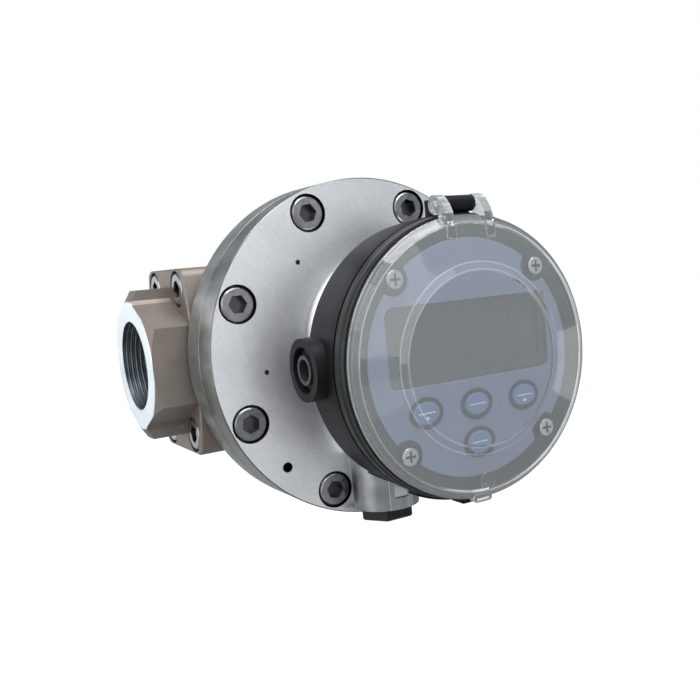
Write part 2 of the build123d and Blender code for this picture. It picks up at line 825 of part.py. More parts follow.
def make_turret_gasket():
    low = forward(housing_rear)
    high = forward(turret_height)
    ring = along_y(turret_radius - 0.5, low, high, turret_x, turret_z)
    ring -= along_y(turret_pocket_radius, low - 1, high + 1, turret_x, turret_z)
    clear = turret_screw_diameter / 2 + turret_screw_gap
    for x, z in ring_of(turret_screw_angles, turret_screw_circle / 2):
        ring -= along_y(clear, low - 1, high + 1, turret_x + x, turret_z + z)
    return ring


def make_turret_screws():
    floor = housing_rear + register_wall
    screws = []
    for x, z in turret_screw_places():
        top = floor + turret_screw_head_height
        tip = turret_height - turret_screw_depth + 1
        screw = register_disc(turret_screw_head / 2, floor, top, x, z)
        screw += register_disc(turret_screw_diameter / 2, tip, floor + 0.5, x, z)
        hexagon = RegularPolygon(turret_screw_socket / 2, 6, major_radius=False)
        socket = Plane.XZ * Pos(register_x + x, register_z + z) * hexagon
        recess = extrude(socket, turret_screw_socket, dir=(0, -1, 0))
        screw -= Pos(0, forward(top - turret_screw_socket / 2), 0) * recess
        screws.append(screw)
    return Compound(children=screws)


def make_entry_gland():
    mouth = register_x - entry_reach
    base_from = mouth + entry_recess_depth - entry_base
    y = forward(entry_height)
    z = register_z + entry_z
    gland = along_x(entry_recess_radius - small, base_from, mouth + entry_recess_depth - small, y, z)
    gland += along_x(entry_tube_radius, mouth + 0.4, base_from + 1, y, z)
    return gland - along_x(entry_hole_radius, mouth - 1, mouth + entry_recess_depth + 1, y, z)


def make_bezel():
    outer = register_flange_radius
    skirt = register_radius - register_wall
    lip = facia_radius - facia_lip
    seat = facia_rear - small
    bezel = register_turned([
        (skirt, bezel_rear), (outer, bezel_rear), (outer, bezel_rear + bezel_step_height),
        (outer - bezel_step, bezel_rear + bezel_step_height + bezel_step), (outer - bezel_step, facia_front),
        (facia_radius + facia_gap, facia_front), (facia_radius + facia_gap, seat), (lip, seat),
        (lip, seat - 2.0), (skirt, seat - 2.0),
    ])
    for x, z in facia_screw_places():
        bezel += register_disc(facia_lug_radius, bezel_rear, facia_front, x, z)
        bezel -= register_disc(facia_screw_diameter / 2 + 0.15, bezel_rear - 1, facia_front + 1, x, z)
    return bezel & register_disc(outer, bezel_rear, facia_front)


def make_bezel_gasket():
    skirt = register_radius - register_wall
    return register_disc(register_flange_radius - 1.1, housing_front, bezel_rear) - register_disc(
        skirt, housing_front - 1, bezel_rear + 1)


def make_lid_seal():
    top = facia_front + lid_seal_height
    return register_disc(lid_radius, facia_front, top) - register_disc(
        lid_radius - 2.2, facia_front - 1, top + 1)


def make_facia():
    facia = register_disc(facia_radius, facia_rear, facia_front)
    for x, z in facia_screw_places():
        facia -= register_disc(facia_lug_radius + facia_gap, facia_rear - 1, facia_front + 1, x, z)
    facia -= register_plate(window_width, window_height, window_z, window_corner,
                            facia_rear - 1, facia_front + 1)
    for x, z in key_places.values():
        facia -= key_oval(key_gap, facia_rear - 1, facia_front + 1, x, z)
    return facia


def make_display_pane():
    clear = 2 * facia_gap
    return register_plate(window_width - clear, window_height - clear, window_z, window_corner,
                          facia_rear + facia_gap, facia_front - 0.3)


def make_display_module():
    half_width = window_width / 2 + display_margin
    half_height = window_height / 2 + display_margin
    low = (-half_width, board_front, window_z - half_height)
    high = (half_width, facia_rear - display_frame_thick, window_z + half_height)
    return register_block(low, high)


def make_display_frame():
    """Thin foam frame between the module and the pane."""
    low = facia_rear - display_frame_thick
    high = facia_rear + facia_gap - small
    width = window_width - 2 * display_frame_inset
    height = window_height - 2 * display_frame_inset
    frame = register_plate(width, height, window_z, window_corner, low, high)
    inner_width = width - 2 * display_frame_width
    inner_height = height - 2 * display_frame_width
    return frame - register_plate(inner_width, inner_height, window_z, window_corner, low - 1, high + 1)


def make_circuit_board():
    board = register_disc(board_radius, board_rear, board_front)
    for x, z in ring_of(board_post_angles, board_post_circle / 2):
        board -= register_disc(board_screw_diameter / 2 + 0.1, board_rear - 1, board_front + 1, x, z)
    return board


def make_board_screws():
    """Board screws stand in the board's own holes, flush with its front where the display lies."""
    screws = []
    for x, z in ring_of(board_post_angles, board_post_circle / 2):
        screws.append(register_disc(board_screw_diameter / 2, board_rear + small, board_front - small, x, z))
    return Compound(children=screws)


def make_key(name):
    x, z = key_places[name]
    flange_top = facia_rear - 0.3
    cap = key_oval(0.0, flange_top - small, facia_front + key_stand, x, z)
    cap = fillet(cap.edges().group_by(Axis.Y)[0], 0.5)
    return cap + key_oval(key_flange_stand, flange_top - key_flange_thick, flange_top, x, z)


def make_key_rims():
    rims = []
    for x, z in key_places.values():
        rim = key_oval(key_gap + key_rim_width, facia_front, facia_front + key_rim_height, x, z)
        rims.append(rim - key_oval(key_gap, facia_front - 1, facia_front + 2, x, z))
    return Compound(children=rims)


def make_key_switches():
    top = facia_rear - 0.3 - key_flange_thick - key_travel - 0.2
    switches = []
    for x, z in key_places.values():
        half = switch_width / 2
        box_top = board_front + switch_height
        box = register_block((x - half, board_front, z - half), (x + half, box_top, z + half))
        switches.append(box + register_disc(switch_stem / 2, box_top - 0.5, top, x, z))
    return Compound(children=switches)


def make_facia_screws():
    screws = []
    low = facia_front - facia_screw_length
    top = facia_front + facia_screw_head_height
    for x, z in facia_screw_places():
        head = register_disc(facia_screw_head / 2, facia_front, top, x, z)
        head = fillet(head.edges().group_by(Axis.Y)[0], 1.1)
        arm = facia_screw_cross / 2
        for half_x, half_z in ((arm, 0.6), (0.6, arm)):
            head -= register_block((x - half_x, top - 1.2, z - half_z), (x + half_x, top + 1, z + half_z))
        screws.append(head + register_disc(facia_screw_diameter / 2, low, facia_front + 0.5, x, z))
    return Compound(children=screws)


def cell_heights():
    return board_rear - holder_back - cell_diameter / 2


def make_battery_cells():
    cells = []
    for z in (cell_upper_z, cell_lower_z):
        y = forward(cell_heights())
        cell = along_x(cell_diameter / 2, register_x - cell_length / 2, register_x + cell_length / 2,
                       y, register_z + z)
        cells.append(cell)
    return Compound(children=cells)


def make_battery_holder():
    top = cell_upper_z + cell_diameter / 2
    bottom = cell_lower_z - cell_diameter / 2
    half = cell_length / 2
    end = half + holder_wall
    plate = register_block((-end, board_rear - holder_back, bottom), (end, board_rear, top))
    for side in (-1, 1):
        inner = side * (half + small)
        outer = side * end
        low_x = min(inner, outer)
        high_x = max(inner, outer)
        plate += register_block((low_x, cell_heights(), bottom), (high_x, board_rear, top))
    return plate


def make_terminal_block():
    half_width = terminal_pitch * terminal_count / 2
    low_z = terminal_z - terminal_height / 2
    rear = board_rear - terminal_depth
    terminals = register_block((-half_width, rear, low_z), (half_width, board_rear, low_z + terminal_height))
    for index in range(terminal_count):
        x = terminal_pitch * (index + 0.5) - half_width
        terminals -= register_disc(terminal_hole / 2, rear - 1, rear + terminal_depth / 2, x, terminal_z)
    return terminals


def lid_outline():
    """Half section of the clear lid: skirt, sloping shoulder, shallow dome and flat window."""
    outer = [
        (lid_radius, lid_rear), (lid_radius, lid_rear + lid_skirt),
        (lid_shoulder_radius, lid_rear + lid_shoulder), (lid_dome_radius, lid_rear + lid_dome),
        (lid_window_radius, lid_rear + lid_depth), (0, lid_rear + lid_depth),
    ]
    inner = [
        (0, lid_rear + lid_depth - lid_wall), (lid_window_radius - 0.7, lid_rear + lid_depth - lid_wall),
        (lid_dome_radius - 0.8, lid_rear + lid_dome - lid_wall),
        (lid_shoulder_radius - 1.2, lid_rear + lid_shoulder - lid_wall),
        (lid_radius - lid_wall - 0.2, lid_rear + lid_skirt - 0.9), (lid_radius - lid_wall - 0.2, lid_rear),
    ]
    return outer + inner


def hinge_ear(x_low):
    """One ear: a round eye on the hinge axis, running forward and down the lid as a rib."""
    eye_y = hinge_height
    eye_z = hinge_rise
    radius = hinge_ear_radius
    under = eye_z - radius - 0.6
    shoulder = lid_rear + lid_shoulder
    dome = lid_rear + lid_dome
    rib = [
        (eye_y, eye_z + radius), (eye_y + 2.6, eye_z + radius - 0.6), (eye_y + 5.0, eye_z + 1.8),
        (eye_y + 7.0, eye_z - 0.6), (eye_y + 8.6, eye_z - 3.4), (shoulder + 1.2, lid_shoulder_radius + 2.4),
        (shoulder + 2.2, lid_shoulder_radius - 1.6), (dome - 0.9, lid_dome_radius + hinge_rib_end),
        (dome - 1.9, lid_dome_radius + hinge_rib_end), (shoulder - 0.8, lid_shoulder_radius - 1.0),
        (lid_rear, lid_shoulder_radius + 1.5), (lid_rear, lid_radius), (lid_rear - 0.7, under),
        (eye_y, under),
    ]
    outline = make_face(Polyline(*[(forward(h), z + register_z) for h, z in rib], close=True))
    solid = across_pipe(outline, register_x + x_low, hinge_ear_width)
    eye = along_x(radius, register_x + x_low, register_x + x_low + hinge_ear_width,
                  forward(eye_y), register_z + eye_z)
    return solid + eye


def make_lid():
    lid = register_turned(lid_outline())
    for x_low in (-hinge_ear_inner - hinge_ear_width, hinge_ear_inner):
        lid += hinge_ear(x_low)
    tab_low = (latch_tab_x[0], lid_rear, -lid_radius - latch_tab_stand)
    tab = register_block(tab_low, (latch_tab_x[1], lid_rear + latch_tab_thick, -lid_radius + 2))
    lid += fillet(tab.edges().filter_by(Axis.Y), latch_corner)
    boss_top = lid_rear + lid_boss_height
    boss_z = lid_boss_inset - lid_radius
    lid += register_disc(lid_boss_radius, boss_top - lid_wall, boss_top, lid_boss_x, boss_z)
    hole = hinge_pin_diameter / 2 + shaft_running_gap
    low_x = register_x - hinge_reach - 1
    high_x = register_x + hinge_reach + 1
    return lid - along_x(hole, low_x, high_x, forward(hinge_height), register_z + hinge_rise)


def make_hinge_pin():
    return along_x(hinge_pin_diameter / 2, register_x - hinge_reach, register_x + hinge_reach,
                   forward(hinge_height), register_z + hinge_rise)


def turned_round(shape):
    """The same piece at the outlet: half a turn about the upright axis through the middle."""
    return Rot(0, 0, 180) * shape


def save(name, shape):
    """Write one node, moved so that the inlet port's mouth is the origin."""
    solids = [Pos(half_length, 0, 0) * solid for solid in shape.solids()]
    placed = solids[0] if len(solids) == 1 else Compound(children=solids)
    export_step(placed, f"parts/{name}.step")


save("meter_body", make_body())
save("meter_cover", make_cover())
save("cover_seal", make_cover_seal())
save("cover_screws", make_cover_screws())
save("cover_dowels", make_dowels())
save("inlet_adaptor", make_adaptor())
save("outlet_adaptor", turned_round(make_adaptor()))
save("inlet_seal", make_port_seal())
save("outlet_seal", turned_round(make_port_seal()))
save("inlet_screws", make_flange_screws())
save("outlet_screws", turned_round(make_flange_screws()))
for rotor in ("a", "b"):
    save(f"rotor_{rotor}", make_rotor(rotor))
    save(f"rotor_{rotor}_bushes", make_bushes(rotor))
    save(f"rotor_shaft_{rotor}", make_shaft(rotor))
save("rotor_washers", make_washers())
save("rotor_magnets", make_magnets())
save("sensor_board", make_sensor_board())
save("sensor_screw", make_sensor_screw())
save("reed_switch", make_reed_switch())
save("hall_sensors", make_hall_sensors())
save("conduit_plug", make_conduit_plug())
save("plug_seal", make_plug_seal())
save("register_housing", make_housing())
save("turret_gasket", make_turret_gasket())
save("turret_screws", make_turret_screws())
save("entry_gland", make_entry_gland())
save("bezel_gasket", make_bezel_gasket())
save("bezel", make_bezel())
save("lid_seal", make_lid_seal())
save("facia", make_facia())
save("facia_screws", make_facia_screws())
save("display_pane", make_display_pane())
save("display_frame", make_display_frame())
save("display_module", make_display_module())
save("circuit_board", make_circuit_board())
save("board_screws", make_board_screws())
for key in key_places:
    save(f"key_{key}", make_key(key))
save("key_rims", make_key_rims())
save("key_switches", make_key_switches())
save("battery_cells", make_battery_cells())
save("battery_holder", make_battery_holder())
save("terminal_block", make_terminal_block())
save("lid", make_lid())
save("hinge_pin", make_hinge_pin())
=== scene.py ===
from math import radians

import bmesh
import bpy
import numpy as np
from mathutils import Matrix, Vector


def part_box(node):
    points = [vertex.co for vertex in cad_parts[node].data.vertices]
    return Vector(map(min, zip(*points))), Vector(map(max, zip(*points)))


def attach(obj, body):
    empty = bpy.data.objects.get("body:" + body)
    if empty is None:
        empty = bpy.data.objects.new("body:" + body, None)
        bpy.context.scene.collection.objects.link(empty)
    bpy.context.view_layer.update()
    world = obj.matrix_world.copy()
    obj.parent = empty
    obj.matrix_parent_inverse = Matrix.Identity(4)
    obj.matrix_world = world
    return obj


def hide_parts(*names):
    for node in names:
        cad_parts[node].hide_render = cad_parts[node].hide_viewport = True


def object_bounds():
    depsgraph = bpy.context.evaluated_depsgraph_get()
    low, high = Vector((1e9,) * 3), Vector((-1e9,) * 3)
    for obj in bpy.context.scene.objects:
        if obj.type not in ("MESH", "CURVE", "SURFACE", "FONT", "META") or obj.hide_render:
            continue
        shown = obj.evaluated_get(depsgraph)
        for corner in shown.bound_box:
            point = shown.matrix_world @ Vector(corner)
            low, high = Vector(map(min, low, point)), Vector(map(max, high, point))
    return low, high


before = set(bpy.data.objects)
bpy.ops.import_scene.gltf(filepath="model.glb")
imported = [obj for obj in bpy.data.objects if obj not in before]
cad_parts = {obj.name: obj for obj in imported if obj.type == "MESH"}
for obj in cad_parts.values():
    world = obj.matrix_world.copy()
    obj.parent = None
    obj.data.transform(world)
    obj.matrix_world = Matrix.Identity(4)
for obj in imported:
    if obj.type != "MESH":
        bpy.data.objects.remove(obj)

cad_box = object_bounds()

# Camera
# It stands in front of the register and to the left, a little above it, rolled slightly, as in
# the photograph. The lens and shift give the photograph's frame of 700 by 700.
camera_place = (-0.1150, -0.4626, 0.0428)
camera_yaw = 32.0
camera_pitch = -7.35
camera_roll = -4.85
camera_lens = 46.51
camera_shift = (-0.114, 0.0314)
nearest_seen = 0.01

camera_data = bpy.data.cameras.new("camera")
camera_data.lens = camera_lens
camera_data.shift_x, camera_data.shift_y = camera_shift
camera_data.clip_start = nearest_seen
camera = bpy.data.objects.new("camera", camera_data)
turn = Matrix.Rotation(radians(-camera_yaw), 4, "Z")
tilt = Matrix.Rotation(radians(90 + camera_pitch), 4, "X")
lean = Matrix.Rotation(radians(camera_roll), 4, "Z")
camera.matrix_world = Matrix.Translation(camera_place) @ turn @ tilt @ lean
bpy.context.collection.objects.link(camera)
bpy.context.scene.camera = camera

# Studio
# A pale floor well below the meter in a white surround. Large soft boxes stand overhead and in
# front, one at the left lights the port's face, and weaker ones stand low, behind and at the right.
floor_drop = 0.30
floor_reach = 6.0
floor_height = cad_box[0][2] - floor_drop
white = "#ffffff"
floor_shade = "#acacac"
faint_shade = (0.12, 0.12, 0.12, 1.0)
surround_shade = "#dfe6ec"
surround_light = 0.47


def linear(colour):
    """A colour written as sRGB hex, as linear red, green, blue and alpha."""
    parts = np.array([int(colour[k:k + 2], 16) for k in (1, 3, 5)]) / 255
    low = parts / 12.92
    high = ((parts + 0.055) / 1.055) ** 2.4
    return (*np.where(parts <= 0.04045, low, high).tolist(), 1.0)


def add(tree, kind, settings=None, inputs=None):
    """One node: its settings are set, and each input is joined to an output or given a value."""
    made = tree.nodes.new(kind)
    for name, value in (settings or {}).items():
        setattr(made, name, value)
    for name, value in (inputs or {}).items():
        if isinstance(value, bpy.types.NodeSocket):
            tree.links.new(value, made.inputs[name])
        else:
            made.inputs[name].default_value = value
    return made


def new_material(name):
    """An empty node material and its tree."""
    made = bpy.data.materials.new(name)
    made.use_nodes = True
    made.node_tree.nodes.clear()
    return made, made.node_tree


def white_for_sight(tree):
    """1 for what is seen directly or through clear plastic, and 0 for what lights the meter."""
    path = add(tree, "ShaderNodeLightPath")
    sight = add(tree, "ShaderNodeMath", {"operation": "MAXIMUM"},
                {0: path.outputs["Is Camera Ray"], 1: path.outputs["Is Transmission Ray"]})
    return sight.outputs[0]


floor_material, tree = new_material("pale_floor")
matt = add(tree, "ShaderNodeBsdfDiffuse", inputs={"Color": linear(floor_shade)})
bright = add(tree, "ShaderNodeEmission", inputs={"Color": linear(white), "Strength": 1.0})
faint = add(tree, "ShaderNodeBsdfDiffuse", inputs={"Color": faint_shade})
seen = add(tree, "ShaderNodeAddShader", inputs={0: bright.outputs[0], 1: faint.outputs[0]})
chosen = add(tree, "ShaderNodeMixShader",
             inputs={0: white_for_sight(tree), 1: matt.outputs[0], 2: seen.outputs[0]})
add(tree, "ShaderNodeOutputMaterial", inputs={"Surface": chosen.outputs[0]})

corners = np.array([(-1, -1), (1, -1), (1, 1), (-1, 1)]) * floor_reach
floor_mesh = bpy.data.meshes.new("floor")
floor_mesh.from_pydata([(x, y, floor_height) for x, y in corners.tolist()], [], [(0, 1, 2, 3)])
floor_mesh.materials.append(floor_material)
floor = bpy.data.objects.new("floor", floor_mesh)
bpy.context.collection.objects.link(floor)

world = bpy.data.worlds.new("surround")
world.use_nodes = True
world.node_tree.nodes.clear()
tree = world.node_tree
shade = add(tree, "ShaderNodeBackground",
            inputs={"Color": linear(surround_shade), "Strength": surround_light})
clear = add(tree, "ShaderNodeBackground", inputs={"Color": linear(white), "Strength": 1.0})
chosen = add(tree, "ShaderNodeMixShader",
             inputs={0: white_for_sight(tree), 1: shade.outputs[0], 2: clear.outputs[0]})
add(tree, "ShaderNodeOutputWorld", inputs={"Surface": chosen.outputs[0]})
bpy.context.scene.world = world


def soft_box(name, place, aim, width, height, power):
    """A rectangular lamp at a place, turned so that its face looks at the aim."""
    lamp = bpy.data.lights.new(name, "AREA")
    lamp.shape = "RECTANGLE"
    lamp.size = width
    lamp.size_y = height
    lamp.energy = power
    made = bpy.data.objects.new(name, lamp)
    direction = Vector(aim) - Vector(place)
    facing = direction.to_track_quat("-Z", "Y").to_matrix().to_4x4()
    made.matrix_world = Matrix.Translation(place) @ facing
    bpy.context.collection.objects.link(made)


meter_middle = (0.10, -0.05, 0.0)
# Each lamp's name, place, width and height in metres, and power in watts.
lamps = (
    ("overhead_box", (0.05, -0.35, 1.10), 1.2, 0.7, 20.5),
    ("left_box", (-1.10, -0.10, 0.25), 0.9, 1.1, 8.0),
    ("front_box", (-0.25, -1.35, 0.54), 2.0, 1.36, 11.5),
    ("back_left_box", (-0.85, 1.25, -0.05), 1.1, 1.1, 5.5),
    ("right_box", (1.18, -0.84, -0.37), 0.48, 0.62, 1.5),
    ("low_box", (0.25, -1.32, -0.47), 0.7, 0.55, 0.7),
)
for name, place, width, height, power in lamps:
    soft_box(name, place, meter_middle, width, height, power)

# Body and pipe adaptors
# Three aluminium castings, bead blasted all over: the body with its round rim, and the two
# flanged adaptors, whose end faces are turned bright and whose bores are screwed.
casting_shade = "#867e78"
casting_dark = "#7b736d"
rim_shade = "#9fa3a2"
rim_dark = "#7d807e"
# The rims' small bevels are painted darker, as shade that dims their highlights.
rim_bevel_painted_shade = "#6e7171"
rim_bevel_painted_dark = "#4f5151"
face_shade = "#dae4e8"
face_dark = "#cfdade"
bore_shade = "#8b9399"
bore_dark = "#5a6166"
streak_scale = (110.0, 45.0, 110.0)
hub_face_x = 0.09925
bore_reach = 0.0242
port_middle_x = 0.0995
rim_turned_from = 0.08245
rim_edge_to = 0.08295
blast_grain = 0.00055
tone_patch = 0.018
noise_spread = (0.3, 0.7)
dimple_tone = (0.86, 1.09)
dimple_bump = 0.35
turned_rough = (0.27, 0.36)
turned_bump = 0.12
metal_bump_height = 0.00012
smooth_below = 28.0
same_plane = radians(0.2)
weld_distance = 1e-6


def flat_regions(work):
    """Faces that lie in one plane with at least two neighbours, found by spreading over edges."""
    found, done = set(), set()
    for start in work.faces:
        if start in done:
            continue
        region, waiting = [], [start]
        done.add(start)
        while waiting:
            face = waiting.pop()
            region.append(face)
            for edge in face.edges:
                if edge.calc_face_angle(1.0) < same_plane:
                    fresh = [other for other in edge.link_faces if other not in done]
                    done.update(fresh)
                    waiting.extend(fresh)
        if len(region) > 2:
            found.update(region)
    return found


def welded(node_name, angle=smooth_below):
    """A copy of a node with its loose triangles joined.

    It is smooth except where faces meet sharply, and where a flat region ends.
    """
    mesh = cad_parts[node_name].data.copy()
    mesh.materials.clear()
    work = bmesh.new()
    work.from_mesh(mesh)
    bmesh.ops.remove_doubles(work, verts=work.verts, dist=weld_distance)
    flat = flat_regions(work)
    for face in work.faces:
        face.smooth = True
    for edge in work.edges:
        bend = edge.calc_face_angle(0.0)
        ends_flat = any(face in flat for face in edge.link_faces) and bend > same_plane
        edge.smooth = bend < radians(angle) and not ends_flat
    work.to_mesh(mesh)
    work.free()
    piece = bpy.data.objects.new(node_name + "_surface", mesh)
    bpy.context.collection.objects.link(piece)
    return piece


def finish_node(node_name, body, material, angle=smooth_below):
    """The node's smoothed copy, in its finish, in the node's place and on its body."""
    piece = welded(node_name, angle)
    piece.data.materials.append(material)
    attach(piece, body)
    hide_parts(node_name)
    return piece


def object_place(tree):
    """The point on the piece, in metres."""
    return add(tree, "ShaderNodeTexCoord").outputs["Object"]


def grain(tree, size, detail=2.0, rough=0.5):
    """Noise whose bumps are about one size apart, from 0 to 1."""
    made = add(tree, "ShaderNodeTexNoise", inputs={
        "Vector": object_place(tree), "Scale": 1.0 / size, "Detail": detail, "Roughness": rough})
    return made.outputs["Fac"]


def between(tree, amount, low, high):
    """A number that runs from low to high as the amount runs over the noise's usual spread."""
    made = add(tree, "ShaderNodeMapRange", inputs={
        "Value": amount, "From Min": noise_spread[0], "From Max": noise_spread[1],
        "To Min": low, "To Max": high})
    return made.outputs["Result"]


def mixed(tree, amount, first, second):
    """A colour that runs from the first to the second."""
    made = add(tree, "ShaderNodeMix", {"data_type": "RGBA"}, {0: amount, 6: first, 7: second})
    return made.outputs[2]


def calculated(tree, operation, first, second=0.0):
    """One step of arithmetic on two amounts."""
    return add(tree, "ShaderNodeMath", {"operation": operation}, {0: first, 1: second}).outputs[0]


def coordinate(tree, axis):
    """The point's X, Y or Z on the piece."""
    return add(tree, "ShaderNodeSeparateXYZ", inputs={"Vector": object_place(tree)}).outputs[axis]


def axis_distance(tree, direction, centre):
    """Distance of the point from a line through the centre.

    The direction is 0 along the line and 1 across it.
    """
    moved = add(tree, "ShaderNodeVectorMath", {"operation": "SUBTRACT"},
                {0: object_place(tree), 1: centre})
    across = add(tree, "ShaderNodeVectorMath", {"operation": "MULTIPLY"},
                 {0: moved.outputs[0], 1: direction})
    far = add(tree, "ShaderNodeVectorMath", {"operation": "LENGTH"}, {0: across.outputs[0]})
    return far.outputs["Value"]


def rim_mask(tree):
    """1 on the turned edges of the two round rims."""
    far = axis_distance(tree, (1.0, 0.0, 1.0), (port_middle_x, 0.0, 0.0))
    return calculated(tree, "GREATER_THAN", far, rim_turned_from)


def rim_bevel_shade_mask(tree):
    """1 on the small bevels of the two round rims, painted darker as shade to dim their highlights."""
    far = axis_distance(tree, (1.0, 0.0, 1.0), (port_middle_x, 0.0, 0.0))
    inside = calculated(tree, "LESS_THAN", far, rim_edge_to)
    outside = calculated(tree, "GREATER_THAN", far, rim_turned_from)
    return calculated(tree, "MULTIPLY", inside, outside)


def hub_end_mask(tree):
    """1 on the hubs' end faces, which are turned."""
    along = calculated(tree, "SUBTRACT", coordinate(tree, "X"), port_middle_x)
    return calculated(tree, "GREATER_THAN", calculated(tree, "ABSOLUTE", along), hub_face_x)


def bore_mask(tree):
    """1 in the threaded bores."""
    away = axis_distance(tree, (0.0, 1.0, 1.0), (0.0, 0.0, 0.0))
    return calculated(tree, "LESS_THAN", away, bore_reach)


def blasted_metal(name, shades, zones, rough=(0.5, 0.62), metal=0.8):
    """Bead-blasted aluminium: fine dimples, a slow change of tone, and turned zones with streaks.

    Each zone is a mask with its light and dark shade. The streaks are longest across the round
    rims, from front to back.
    """
    material, tree = new_material(name)
    fine = grain(tree, blast_grain, 3.0, 0.6)
    slow = grain(tree, tone_patch, 3.0)
    tone = mixed(tree, between(tree, slow, 0.0, 1.0), linear(shades[1]), linear(shades[0]))
    spotted = add(tree, "ShaderNodeVectorMath", {"operation": "SCALE"},
                  {0: tone, "Scale": between(tree, fine, *dimple_tone)})
    drawn = add(tree, "ShaderNodeVectorMath", {"operation": "MULTIPLY"},
                {0: object_place(tree), 1: streak_scale})
    noise = add(tree, "ShaderNodeTexNoise",
                inputs={"Vector": drawn.outputs[0], "Scale": 1.0, "Detail": 3.0})
    streak = noise.outputs["Fac"]
    colour, turned = spotted.outputs[0], 0.0
    for mask_of, light, dark in zones:
        mask = mask_of(tree)
        drawn_tone = mixed(tree, between(tree, streak, 0.0, 1.0), linear(dark), linear(light))
        colour = mixed(tree, mask, colour, drawn_tone)
        turned = calculated(tree, "MAXIMUM", mask, turned)
    roughness = add(tree, "ShaderNodeMix", {}, {
        0: turned, 2: between(tree, fine, *rough), 3: between(tree, streak, *turned_rough)})
    height = add(tree, "ShaderNodeMix", {}, {0: turned, 2: fine, 3: streak})
    strength = add(tree, "ShaderNodeMix", {}, {0: turned, 2: dimple_bump, 3: turned_bump})
    bump = add(tree, "ShaderNodeBump", inputs={
        "Height": height.outputs[0], "Strength": strength.outputs[0], "Distance": metal_bump_height})
    skin = add(tree, "ShaderNodeBsdfPrincipled", inputs={
        "Base Color": colour, "Metallic": metal, "Roughness": roughness.outputs[0],
        "Normal": bump.outputs[0]})
    add(tree, "ShaderNodeOutputMaterial", inputs={"Surface": skin.outputs[0]})
    return material


body_metal = blasted_metal("bead_blasted_aluminium", (casting_shade, casting_dark), [
    (rim_mask, rim_shade, rim_dark), (rim_bevel_shade_mask, rim_bevel_painted_shade, rim_bevel_painted_dark)])
adaptor_metal = blasted_metal("bead_blasted_adaptor", (casting_shade, casting_dark), [
    (bore_mask, bore_shade, bore_dark), (hub_end_mask, face_shade, face_dark)])
finish_node("meter_body", "meter", body_metal)
adaptors = {name: finish_node(name, "meter", adaptor_metal)
            for name in ("inlet_adaptor", "outlet_adaptor")}

# Port threads
# The pipe thread cut in each port: one helical groove of trapezoid section, eleven turns to the
# inch, cut outwards into the bore's wall and fading out at both ends. It has the adaptor's metal.
thread_pitch = 0.0254 / 11
thread_crest = 0.02245
thread_deep = 0.00145
thread_from = 0.0003
thread_to = 0.0215
thread_fade = 0.0012
thread_columns = 144
thread_rows = 110
flank_slope = 4.2
flank_start = 0.6
bore_tolerance = 0.00003
plain_wall_end = 0.0221
mouth_band = 0.001


def thread_points(mouth_x, inward):
    """Rings of points down the bore.

    The groove's phase is the place along the bore over the pitch, less the angle over a turn. Its
    depth over a phase from 0 to 1 rises, stays, falls and stays, as a trapezoid. The depth is
    scaled by the distance from the nearer end over the fade, up to 1.
    """
    along = np.linspace(thread_from, thread_to, thread_rows)[:, None]
    angle = np.linspace(0, 2 * np.pi, thread_columns, endpoint=False)[None, :]
    phase = (along / thread_pitch - inward * angle / (2 * np.pi)) % 1.0
    trapezoid = np.clip((0.5 - np.abs(phase - 0.5)) * flank_slope - flank_start, 0, 1)
    fade = np.clip(np.minimum(along - thread_from, thread_to - along) / thread_fade, 0, 1)
    radius = thread_crest + thread_deep * trapezoid * fade
    x = mouth_x + inward * along + 0 * angle
    return np.stack([x, radius * np.cos(angle), radius * np.sin(angle)], -1).reshape(-1, 3)


def tube_faces(rows, columns):
    """Quads of a tube from rows of points, each row a closed ring, facing the axis."""
    row = np.arange(rows - 1)[:, None] * columns
    column = np.arange(columns)[None, :]
    following = (column + 1) % columns
    below = row + columns
    quads = np.stack([row + column, below + column, below + following, row + following], -1)
    return quads.reshape(-1, 4).tolist()


def cut_thread(piece, mouth_x, inward):
    """Puts the grooved wall in place of the bore's plain one, joined to the rings at its ends."""
    work = bmesh.new()
    work.from_mesh(piece.data)
    place = np.array([v.co for v in work.verts])
    deep = (place[:, 0] - mouth_x) * inward
    off_wall = np.abs(np.hypot(place[:, 1], place[:, 2]) - thread_crest)
    on_wall = (off_wall < bore_tolerance) & (deep < plain_wall_end)
    walls = [face for face in work.faces if all(on_wall[v.index] for v in face.verts)]
    bmesh.ops.delete(work, geom=walls, context="FACES")
    open_edges = [edge for edge in work.edges if len(edge.link_faces) == 1]
    mouth = [edge for edge in open_edges if abs(edge.verts[0].co.x - mouth_x) < mouth_band]
    bottom = [edge for edge in open_edges if abs(edge.verts[0].co.x - mouth_x) >= mouth_band]
    rings = [work.verts.new(point) for point in thread_points(mouth_x, inward)]
    grooved = []
    for quad in tube_faces(thread_rows, thread_columns):
        corners = [rings[k] for k in quad]
        grooved.append(work.faces.new(corners if inward > 0 else corners[::-1]))
    first = [work.edges.get((rings[k], rings[(k + 1) % thread_columns]))
             for k in range(thread_columns)]
    start = (thread_rows - 1) * thread_columns
    last = [work.edges.get((rings[start + k], rings[start + (k + 1) % thread_columns]))
            for k in range(thread_columns)]
    bmesh.ops.bridge_loops(work, edges=mouth + first)
    bmesh.ops.bridge_loops(work, edges=bottom + last)
    bmesh.ops.recalc_face_normals(work, faces=work.faces)
    for quad in grooved:
        quad.smooth = True
    work.to_mesh(piece.data)
    work.free()


cut_thread(adaptors["inlet_adaptor"], 0.0, 1.0)
cut_thread(adaptors["outlet_adaptor"], 2 * port_middle_x, -1.0)

# Measuring chamber
# Two oval rotors of glass-filled plastic with carbon bushes turn on fixed shafts of ground steel.
# They show through the bore as dark toothed shapes.
rotor_shade = "#3b332d"
rotor_fleck = "#6a6258"
fleck_share = 0.45
mould_rough = (-0.04, 0.05)
mould_bump = 0.2
mould_bump_height = 0.00006
sheen_patch = 0.003
sheen_dark = 0.72
worn_patch = 0.045
worn_tone = (0.8, 1.35)
steel_rough = (-0.05, 0.08)


